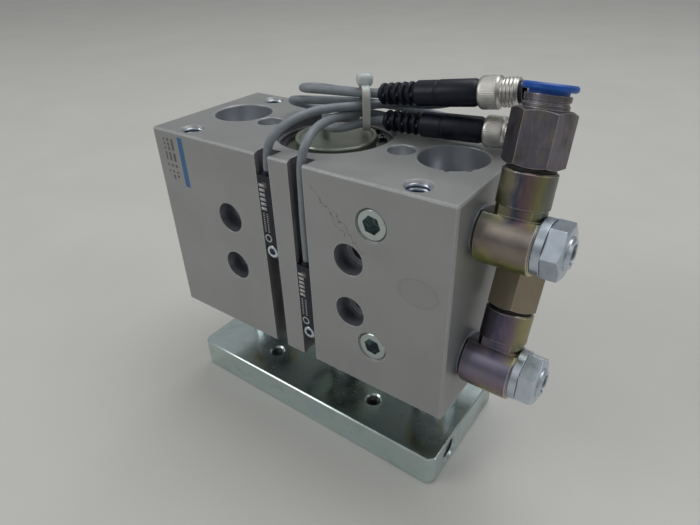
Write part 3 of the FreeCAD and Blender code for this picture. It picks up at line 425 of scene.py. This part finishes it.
def make_materials():
    """One material for each slot of the record."""
    bright = (0.85, 0.86, 0.87)
    return {
        "anodised_aluminium": anodised(),
        "zinc_steel": plated_plate(),
        "ground_steel": plain_metal("ground_steel", [(0.50, 0.51, 0.52), (0.60, 0.61, 0.62)],
                                    (0.12, 0.2), grain=0.06, grain_depth=0.0008, stretch=(20, 20, 1)),
        "black_screw": plain_metal("black_screw", [(0.03, 0.03, 0.032), (0.06, 0.06, 0.062)],
                                   (0.35, 0.5), edge=(0.2, (0.3, 0.3, 0.3), 0.4)),
        "turned_aluminium": plain_metal("turned_cap", [(0.36, 0.38, 0.33), (0.46, 0.47, 0.40)],
                                        (0.30, 0.42), blotch=8.0, grain=0.25, grain_depth=0.003,
                                        edge=(0.35, (0.9, 0.9, 0.86), 0.85), grime=0.3),
        "olive_cap": cap_alloy(),
        "bright_zinc": plain_metal("bright_zinc", [(0.50, 0.57, 0.65), (0.62, 0.69, 0.77)],
                                   (0.27, 0.37), blotch=4.0, grain=0.14, grain_depth=0.0006,
                                   edge=(0.3, (0.92, 0.93, 0.94), 0.6), grime=0.15),
        "black_rubber": moulded("black_rubber", ((0.010, 0.010, 0.011), (0.020, 0.020, 0.022)),
                                (0.5, 0.7)),
        "magnet": plain_metal("magnet", [(0.05, 0.05, 0.055), (0.09, 0.09, 0.09)], (0.5, 0.6)),
        "wear_plastic": moulded("wear_plastic", ((0.24, 0.14, 0.06), (0.30, 0.19, 0.09)), (0.4, 0.55)),
        "bronze": plain_metal("bronze", [(0.36, 0.25, 0.12), (0.46, 0.32, 0.16)], (0.3, 0.45)),
        "yellow_zinc": yellow_zinc(),
        "bronze_zinc": bronzed_zinc(),
        "dark_steel": plain_metal("dark_steel", [(0.13, 0.135, 0.15), (0.20, 0.205, 0.22)], (0.25, 0.4),
                                  grain=0.1, edge=(0.3, bright, 0.5)),
        "black_plastic": moulded("black_plastic", ((0.003, 0.005, 0.012), (0.007, 0.010, 0.022)),
                                 (0.34, 0.46), grain=0.12, grain_depth=0.003, dust=0.04,
                                 Specular_IOR_Level=0.35),
        "clear_window": moulded("clear_window", ((0.035, 0.030, 0.018), (0.055, 0.048, 0.026)),
                                (0.1, 0.2), Coat_Weight=0.6),
        "grey_cable": moulded("grey_cable", ((0.212, 0.240, 0.268), (0.255, 0.285, 0.312)), (0.36, 0.5),
                              grain=0.5, grain_depth=0.003, dust=0.15),
        "white_nylon": nylon(),
        "nickel": plain_metal("nickel", [(0.56, 0.55, 0.52), (0.66, 0.65, 0.61)], (0.30, 0.40),
                              blotch=2.0, grain=0.08, grain_depth=0.0004,
                              edge=(0.15, (0.95, 0.94, 0.92), 0.5), grime=0.4),
        "blue_plastic": moulded("blue_plastic", ((0.006, 0.085, 0.42), (0.010, 0.115, 0.52)),
                                (0.30, 0.42), grain=0.3, grain_depth=0.003, dust=0.05),
    }


# ---- mesh tools ------------------------------------------------------------------------------
def piece(name, vertices, faces, body, material, sharp=35.0):
    """A finished mesh object riding a body."""
    mesh = bpy.data.meshes.new(name)
    mesh.from_pydata([Vector(v) * MM for v in vertices], [], faces)
    mesh.validate()
    mesh.shade_smooth()
    mesh.set_sharp_from_angle(angle=radians(sharp))
    mesh.materials.append(material)
    made = bpy.data.objects.new(name, mesh)
    bpy.context.scene.collection.objects.link(made)
    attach(made, body)
    return made


def side_vectors(axis):
    """Two unit vectors square to an axis; the first lies level where it can."""
    level = axis.cross(ZA) if abs(axis.z) < 0.9 else axis.cross(YA)
    level.normalize()
    return level, level.cross(axis)


def revolved(base, axis, rows, segments):
    """Vertices and faces of a closed profile turned round an axis. A row is (distance, radius) or
    (distance, radius, relief), and relief(angle, distance) is added to its radius."""
    u, w = side_vectors(axis)
    vertices, faces = [], []
    for row in rows:
        distance, radius = row[:2]
        for i in range(segments):
            angle = 2 * pi * i / segments
            r = radius + (row[2](angle, distance) if len(row) > 2 else 0.0)
            vertices.append(base + axis * distance + u * (r * cos(angle)) + w * (r * sin(angle)))
    count = len(rows)
    for k in range(count):
        low, high = k * segments, (k + 1) % count * segments
        for i in range(segments):
            j = (i + 1) % segments
            faces.append((low + i, low + j, high + j, high + i))
    return vertices, faces


def saw(value):
    """Triangle wave: 0 at whole numbers, 1 half way."""
    part = value - floor(value)
    return 1 - abs(2 * part - 1)


def knurl(teeth, depth):
    return lambda angle, distance: -depth * saw(teeth * angle / (2 * pi))


def thread(pitch, depth):
    """Helical grooves cut into an outside surface."""
    return lambda angle, distance: -depth * saw(distance / pitch + angle / (2 * pi))


def spaced(start, end, step):
    count = max(1, round((end - start) / step))
    return [start + (end - start) * i / count for i in range(count + 1)]


def inner_thread(base, axis, radius, start, end, pitch, depth):
    """Vertices and faces of a closed thin sleeve in a hole, with ridges towards the axis."""
    ridge = lambda angle, distance: -depth * saw(distance / pitch + angle / (2 * pi))
    rows = [(s, radius - 0.02, ridge) for s in spaced(start, end, pitch / 6)]
    rows += [(end, radius - 0.01), (start, radius - 0.01)]
    return revolved(base, axis, rows, 48)


def joined(parts):
    """Several (vertices, faces) as one."""
    vertices, faces = [], []
    for more_vertices, more_faces in parts:
        first = len(vertices)
        vertices += more_vertices
        faces += [tuple(first + i for i in face) for face in more_faces]
    return vertices, faces


def slab(centre, half, bevel=0.35, segments=2):
    """A box with rounded edges, as (vertices, faces); the bevel is a share of its least half."""
    mesh = bmesh.new()
    bmesh.ops.create_cube(mesh, size=2.0)
    bmesh.ops.scale(mesh, vec=half, verts=mesh.verts)
    bmesh.ops.bevel(mesh, geom=mesh.edges[:], offset=min(half) * bevel, segments=segments,
                    affect="EDGES", profile=0.5)
    mesh.verts.index_update()
    vertices = [v.co + Vector(centre) for v in mesh.verts]
    faces = [tuple(v.index for v in f.verts) for f in mesh.faces]
    mesh.free()
    return vertices, faces


# ---- CAD nodes -------------------------------------------------------------------------------
def soften(node_object, angle=28.0):
    """Smooth shading on curved walls and crisp edges elsewhere, by modifiers."""
    mesh = node_object.data
    if "custom_normal" in mesh.attributes:
        mesh.attributes.remove(mesh.attributes["custom_normal"])
    mesh.shade_smooth()
    weld = node_object.modifiers.new("weld", "WELD")
    weld.merge_threshold = 0.001 * MM
    split = node_object.modifiers.new("edges", "EDGE_SPLIT")
    split.split_angle = radians(angle)


def dress_nodes(materials):
    for row in frame["record"]["subparts"]:
        node_object = nodes[row["node"]]
        node_object.data.materials.clear()
        node_object.data.materials.append(materials[row["material_slot"]])
        soften(node_object)


def second_material(node, material, test):
    """Gives a node's faces that pass the test another material."""
    mesh = nodes[node].data
    mesh.materials.append(material)
    index = len(mesh.materials) - 1
    for face in mesh.polygons:
        if test(face.center / MM, face.normal):
            face.material_index = index


def near(a, b, centres, radius):
    """Whether a place lies within a radius of one of the centres."""
    return any(sqrt((a - ca) ** 2 + (b - cb) ** 2) < radius for ca, cb in centres)


def in_a_bore(at, normal):
    """Machined walls of the housing: guide bores, dowel holes, tapped holes and front holes."""
    guides = [(-GUIDE_X, AXIS_Y), (GUIDE_X, AXIS_Y)]
    dowels = [(-DOWEL_X, DOWEL_Y), (DOWEL_X, DOWEL_Y)]
    if abs(normal.z) < 0.3:
        if near(at.x, at.y, guides, GUIDE_BORE_R + 0.1):
            return True
        if at.z > TOP - 10 and near(at.x, at.y, dowels, DOWEL_HOLE_R):
            return True
        if at.z > TOP - 20 and near(at.x, at.y, TOP_TAPS, TOP_TAP_R + 0.1):
            return True
    inside = abs(normal.y) < 0.3 and at.y > FRONT + 0.05
    return inside and near(at.x, at.z, FRONT_HOLES, FRONT_HOLE_R)


def in_the_dark(at, normal):
    """Sensor slots, the groove round the rear cap and the narrow ends of the front holes."""
    slot = abs(abs(at.x) - SLOT_X) < SLOT_HALF_W and FRONT + 0.2 < at.y < FRONT + SLOT_DEPTH
    mouth = TOP - 20 < at.z < TOP - 0.05 and near(at.x, at.y, [(0.0, AXIS_Y)], MOUTH_R + 0.1)
    deep = FRONT + 3 < at.y < 10 and near(at.x, at.z, FRONT_HOLES, FRONT_HOLE_NARROW_R)
    return slot or mouth or deep


def at_a_socket_floor(at, normal):
    """Bottoms of the hexagon sockets in the plugs and clamp screws."""
    return at.y > FRONT + 0.7 and abs(normal.y) > 0.9


# ---- pieces ----------------------------------------------------------------------------------
ROUTES = {
    "left": [
        (-6.3, -22.7, 98.0), (-6.1, -22.8, 104.0), (-3.6, -21.6, 109.0), (-1.6, -15.8, 111.9),
        (0.2, -7.8, 112.7), (3.0, 0.4, 112.1), (7.0, 7.2, 111.4), (11.0, 13.6, 111.0),
        (17.0, 16.8, 111.2), (23.6, 17.2, 111.6), (28.8, 18.8, 112.2), (31.2, 22.8, 112.8),
        (29.0, 27.0, 113.2), (23.8, 27.6, 113.5), (17.6, 24.2, 113.7), (12.4, 18.2, 113.8),
        (6.2, 12.6, 113.9), (-0.4, 12.0, 113.8), (-6.2, 12.7, 113.3), (-10.6, 13.6, 113.1),
        (-14.9, 13.2, 113.1), (-17.2, 9.8, 113.6), (-16.1, 5.9, 114.2), (-12.0, 4.4, 114.7),
        (-7.2, 5.2, 114.9), (-1.4, 6.4, 114.9), (5.2, 8.2, 114.8), (12.0, 10.0, 115.0)],
    "right": [
        (6.3, -22.7, 71.0), (6.3, -22.9, 83.0), (6.5, -22.7, 95.0), (6.9, -22.9, 103.2),
        (7.6, -21.0, 108.4), (6.0, -14.4, 110.4), (3.6, -6.8, 109.8), (2.8, 0.6, 109.2),
        (5.0, 7.8, 109.1), (9.2, 13.6, 107.4), (15.4, 17.4, 105.2), (22.4, 18.0, 104.8),
        (28.4, 18.6, 104.8), (32.6, 21.4, 104.8), (32.4, 26.4, 104.8), (28.2, 29.2, 104.8),
        (22.6, 28.0, 105.4), (16.6, 23.8, 107.4), (11.0, 17.8, 109.6), (5.0, 12.6, 110.9),
        (-1.6, 10.0, 111.0), (-8.0, 8.4, 110.7), (-13.4, 6.6, 110.6), (-18.4, 5.4, 110.3),
        (-22.6, 7.6, 109.0), (-24.2, 11.8, 107.0), (-21.4, 15.6, 105.4), (-16.2, 15.4, 104.8),
        (-10.6, 11.2, 104.8), (-6.8, 5.6, 104.8), (-3.4, 1.6, 104.8), (0.8, 1.0, 104.9),
        (4.2, 3.7, 105.4), (7.2, 7.0, 106.3), (10.2, 9.0, 107.0), (13.8, 9.8, 107.4)],
}
CABLE_R = 1.3


def cable(name, material):
    """Round cable as one smooth curve through its route."""
    curve = bpy.data.curves.new("cable_line_" + name, "CURVE")
    curve.dimensions = "3D"
    spline = curve.splines.new("NURBS")
    route = ROUTES[name]
    spline.points.add(len(route) - 1)
    for point, place in zip(spline.points, route):
        point.co = (*(Vector(place) * MM), 1)
    spline.order_u = 3
    spline.use_endpoint_u = True
    spline.resolution_u = 12
    curve.bevel_depth = CABLE_R * MM
    curve.bevel_resolution = 6
    curve.use_fill_caps = True
    curve.materials.append(material)
    made = bpy.data.objects.new("cable_line_" + name, curve)
    bpy.context.scene.collection.objects.link(made)
    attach(made, "housing")
    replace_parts(made, "cable_" + name)
    return made


def coupling_nut(name, material):
    """Knurled ring with a rounded shoulder and an M8 thread on its nose."""
    base, axis = CONNECTOR[name]
    ring_r, thread_r, hole_r = 4.4, 3.95, 2.9
    teeth, helix = knurl(64, 0.10), thread(1.0, 0.3)
    rows = [(31.3, hole_r), (31.3, 3.75), (31.55, 4.15), (31.9, 4.32), (32.1, ring_r - 0.02, teeth)]
    rows += [(s, ring_r, teeth) for s in spaced(32.3, 36.3, 0.6)]
    rows += [(36.5, ring_r - 0.02, teeth), (36.7, 4.3), (37.0, 4.0), (37.3, 3.65), (37.5, 3.5),
             (37.8, 3.6)]
    rows += [(s, thread_r, helix) for s in spaced(38.0, 41.5, 0.125)]
    rows += [(41.8, 3.6), (42.0, 3.4), (42.0, hole_r)]
    vertices, faces = revolved(base, axis, rows, 192)
    made = piece("knurled_nut_" + name, vertices, faces, "nut_" + name, material)
    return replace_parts(made, "coupling_nut_" + name)


def boot(name, material):
    """Strain relief of round ribs joined by short webs that alternate."""
    base, axis = CONNECTOR[name]
    ribs, pitch, hole_r, core_r = 5, 2.28, 1.45, 2.4
    rows = [(0.0, hole_r), (0.0, 2.2), (0.3, core_r)]
    for i in range(ribs):
        start = 0.5 + i * pitch
        swell = 3.15 + 0.07 * i
        web = lambda angle, distance, i=i: 0.75 * max(0.0, cos(2 * angle + pi * (i % 2))) ** 6
        rows += [(start, core_r), (start + 0.15, swell - 0.45), (start + 0.4, swell - 0.1),
                 (start + 0.7, swell), (start + 0.95, swell), (start + 1.2, swell - 0.1),
                 (start + 1.4, swell - 0.45), (start + 1.55, 2.3, web), (start + 1.9, 2.25, web),
                 (start + 2.2, 2.35, web)]
    rows += [(12.2, 2.5), (12.2, hole_r)]
    vertices, faces = revolved(base, axis, rows, 72)
    made = piece("ribbed_boot_" + name, vertices, faces, "housing", material, 50.0)
    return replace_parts(made, "connector_boot_" + name)


def threads(body, name, material, parts):
    vertices, faces = joined(parts)
    return piece(name, vertices, faces, body, material, 60.0)


def screw_threads(materials):
    """Threads that show in the open tapped holes."""
    top = [inner_thread(Vector((x, y, TOP)), -ZA, TOP_TAP_R, 0.75, 14.0, 1.25, 0.3)
           for x, y in TOP_TAPS]
    threads("housing", "top_hole_threads", materials["bright_zinc"], top)
    shade = plain_metal("shaded_thread", [(0.13, 0.15, 0.155), (0.20, 0.22, 0.225)], (0.3, 0.4),
                        blotch=2.0)
    plate = [inner_thread(Vector((x, y, plate_high.z)), -ZA, PLATE_TAP_R, 0.65, 11.8, 1.0, 0.25)
             for x, y in PLATE_TAPS]
    threads("yoke", "plate_hole_threads", shade, plate)
    ends = []
    for side in (-1, 1):
        mouth = Vector((side * plate_high.x, END_TAP_Y, END_TAP_Z))
        ends.append(inner_thread(mouth, XA * -side, END_TAP_R, 0.75, 13.0, 1.25, 0.42))
    threads("yoke", "end_hole_threads", shade, ends)


def sensor_marks():
    """Generic white marks on the sensor faces: bars, hatching and a ring."""
    paint = moulded("white_print", ((0.42, 0.43, 0.44), (0.52, 0.53, 0.54)), (0.45, 0.6), dust=0.3)
    face_y, half_coat = FRONT + 0.03, 0.018
    for name, x, foot in (("left", -SLOT_X, 68.5), ("right", SLOT_X, 41.5)):
        parts = [slab((x - 1.1, face_y, z), (1.1, half_coat, 0.5))
                 for z in spaced(foot + 17.5, foot + 25.2, 1.54)]
        for column in (-1.5, -0.1):
            parts += [slab((x + column, face_y, z), (0.35, half_coat, 0.14))
                      for z in spaced(foot + 9.7, foot + 15.8, 0.68)]
        rows = [(0.0, 0.95), (0.0, 1.4), (2 * half_coat, 1.4), (2 * half_coat, 0.95)]
        ring_foot = Vector((x - 0.7, face_y - half_coat, foot + 7.3))
        parts.append(revolved(ring_foot, YA, rows, 40))
        vertices, faces = joined(parts)
        piece("printed_marks_" + name, vertices, faces, "housing", paint)


TIE_C, TIE_AZ = Vector((5.7, 10.3, 110.65)), radians(40.0)
TIE_HALF_W, TIE_HALF_H, TIE_CORNER_R = 5.75, 5.75, 2.2


def tie_loop(grow, arc_steps=10, run_steps=12):
    """Points of the strap's rounded loop, in its own plane, grown outwards."""
    corners, r = [], TIE_CORNER_R + grow
    for quarter, (sx, sy) in enumerate(((1, 1), (-1, 1), (-1, -1), (1, -1))):
        cx, cy = sx * (TIE_HALF_W - TIE_CORNER_R), sy * (TIE_HALF_H - TIE_CORNER_R)
        for i in range(arc_steps + 1):
            a = pi / 2 * (quarter + i / arc_steps)
            corners.append((cx + r * cos(a), cy + r * sin(a)))
    line = []
    for k, (a, b) in enumerate(zip(corners, corners[1:] + corners[:1])):
        steps = run_steps if k % (arc_steps + 1) == arc_steps else 1
        for i in range(steps):
            line.append(tuple(p + (q - p) * i / steps for p, q in zip(a, b)))
    return line


def tie_band(place):
    """The strap itself, ribbed outside, as (vertices, faces)."""
    half, bevel, track, rib = 1.22, 0.25, 0.55, 0.12
    outer, inner = tie_loop(1.05), tie_loop(0.1)
    vertices, faces = [], []
    for k, ((ou, ov), (iu, iv)) in enumerate(zip(outer, inner)):
        length = sqrt((ou - iu) ** 2 + (ov - iv) ** 2)
        du, dv = (ou - iu) / length, (ov - iv) / length
        dent = rib if k % 2 else 0.0
        section = [(iu, iv, -half), (iu, iv, half), (ou - du * bevel, ov - dv * bevel, half),
                   (ou, ov, half - bevel), (ou - du * dent, ov - dv * dent, half - track),
                   (ou - du * dent, ov - dv * dent, track - half), (ou, ov, bevel - half),
                   (ou - du * bevel, ov - dv * bevel, -half)]
        vertices += [place(u, v, along) for u, v, along in section]
    n, count = len(section), len(outer)
    for k in range(count):
        a, b = k * n, (k + 1) % count * n
        faces += [(a + i, b + i, b + (i + 1) % n, a + (i + 1) % n) for i in range(n)]
    return vertices, faces


def cable_tie(material):
    """Ribbed strap round the cables, its lock head on top with the cut end of the strap."""
    turn = Matrix.Rotation(TIE_AZ - pi / 2, 3, "Z")
    place = lambda u, v, along: TIE_C + turn @ Vector((u, along, v))
    top = TIE_HALF_H + 1.1
    head, head_faces = slab((0, 0, 0), (2.85, 2.55, 1.95), bevel=0.8205, segments=6)
    stub, stub_faces = slab((0, 0, 0), (0.75, 1.1, 0.5))
    parts = [tie_band(place),
             ([place(v.x, v.z + top + 1.1, v.y) for v in head], head_faces),
             ([place(v.x + 0.4, v.z + top + 2.75, v.y) for v in stub], stub_faces)]
    vertices, faces = joined(parts)
    made = piece("tie_strap", vertices, faces, "housing", material, 50.0)
    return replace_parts(made, "cable_tie")


# ---- stage -----------------------------------------------------------------------------------
def floor_sheet():
    mesh = bpy.data.meshes.new("floor")
    reach = 3.0
    mesh.from_pydata([(-reach, -reach, 0), (reach, -reach, 0), (reach, reach, 0), (-reach, reach, 0)],
                     [], [(0, 1, 2, 3)])
    look = Look("floor", 0.0)
    tone = look.ramp(look.noise(90.0, 4.0), [(0.3, (0.60, 0.595, 0.565)), (0.7, (0.635, 0.63, 0.60))])
    speck = look.step(look.noise(1.3, 4.0, rough=0.7), 0.74, 0.80)
    tone = look.mix(look.math("MULTIPLY", speck, 0.18), tone, (0.35, 0.34, 0.32))
    mesh.materials.append(look.finish(tone, look.step(look.noise(30.0), 0.3, 0.7, 0.55, 0.68)))
    made = bpy.data.objects.new("floor", mesh)
    bpy.context.scene.collection.objects.link(made)


def soft_light(name, place, target, size, power, colour):
    data = bpy.data.lights.new(name, "AREA")
    data.shape = "RECTANGLE"
    data.size, data.size_y = size
    data.energy = power
    data.color = colour
    made = bpy.data.objects.new(name, data)
    made.location = place
    made.rotation_mode = "QUATERNION"
    made.rotation_quaternion = (Vector(target) - Vector(place)).to_track_quat("-Z", "Y")
    bpy.context.scene.collection.objects.link(made)


def studio():
    aim = (0.0, 0.0, 0.05)
    soft_light("ceiling", (0.10, 0.35, 1.05), aim, (0.9, 0.6), 4.05, (0.97, 0.99, 1.0))
    soft_light("front_left", (-0.75, -0.85, 0.80), aim, (0.7, 0.7), 3.55, (0.99, 0.995, 0.98))
    soft_light("right_strip", (1.0, 0.15, 0.55), aim, (0.25, 0.6), 0.6, (0.97, 0.98, 1.0))
    world = bpy.data.worlds.new("room")
    bpy.context.scene.world = world
    world.use_nodes = True
    tree = world.node_tree
    background = tree.nodes["Background"]
    background.inputs["Strength"].default_value = 1.0
    direction = tree.nodes.new("ShaderNodeTexCoord")
    split = tree.nodes.new("ShaderNodeSeparateXYZ")
    tree.links.new(direction.outputs["Generated"], split.inputs[0])
    ramp = tree.nodes.new("ShaderNodeValToRGB")
    stops = ramp.color_ramp.elements
    stops[0].position, stops[0].color = 0.0, (0.16, 0.16, 0.17, 1)
    stops[1].position, stops[1].color = 1.0, (0.46, 0.46, 0.46, 1)
    tree.links.new(split.outputs["Z"], ramp.inputs[0])
    tree.links.new(ramp.outputs[0], background.inputs["Color"])


def camera():
    data = bpy.data.cameras.new("camera")
    data.lens, data.sensor_width = 27.62, 36.0
    data.clip_start, data.clip_end = 0.01, 20.0
    made = bpy.data.objects.new("camera", data)
    place, target = Vector((101.47, -127.42, 158.09)) * MM, Vector((-10.53, 21.59, 41.25)) * MM
    made.location = place
    made.rotation_mode = "QUATERNION"
    roll = Quaternion((0, 0, 1), radians(-1.86))
    made.rotation_quaternion = (target - place).to_track_quat("-Z", "Y") @ roll
    bpy.context.scene.collection.objects.link(made)
    bpy.context.scene.camera = made


# ---- the scene -------------------------------------------------------------------------------
materials = make_materials()
dress_nodes(materials)
second_material("housing", bored(), in_a_bore)
# slots, the groove round the cap and the narrow hole ends take a darker material as painted shade
second_material("housing", shaded_recess_walls(), in_the_dark)
# socket floors take dark steel as painted shade inside the sockets
socket_shade = materials["dark_steel"]
for socketed in ("port_plugs", "sensor_clamp_screws"):
    second_material(socketed, socket_shade, at_a_socket_floor)
screw_threads(materials)
sensor_marks()
cable_tie(materials["white_nylon"])
for side, end in (("left", "upper"), ("right", "lower")):
    line = cable(side, materials["grey_cable"])
    carried = [boot(end, materials["black_plastic"]), coupling_nut(end, materials["nickel"]),
               nodes["connector_grip_" + end], nodes["contact_insert_" + end]]
floor_sheet()
studio()
camera()
bpy.context.scene.view_settings.view_transform = "Standard"
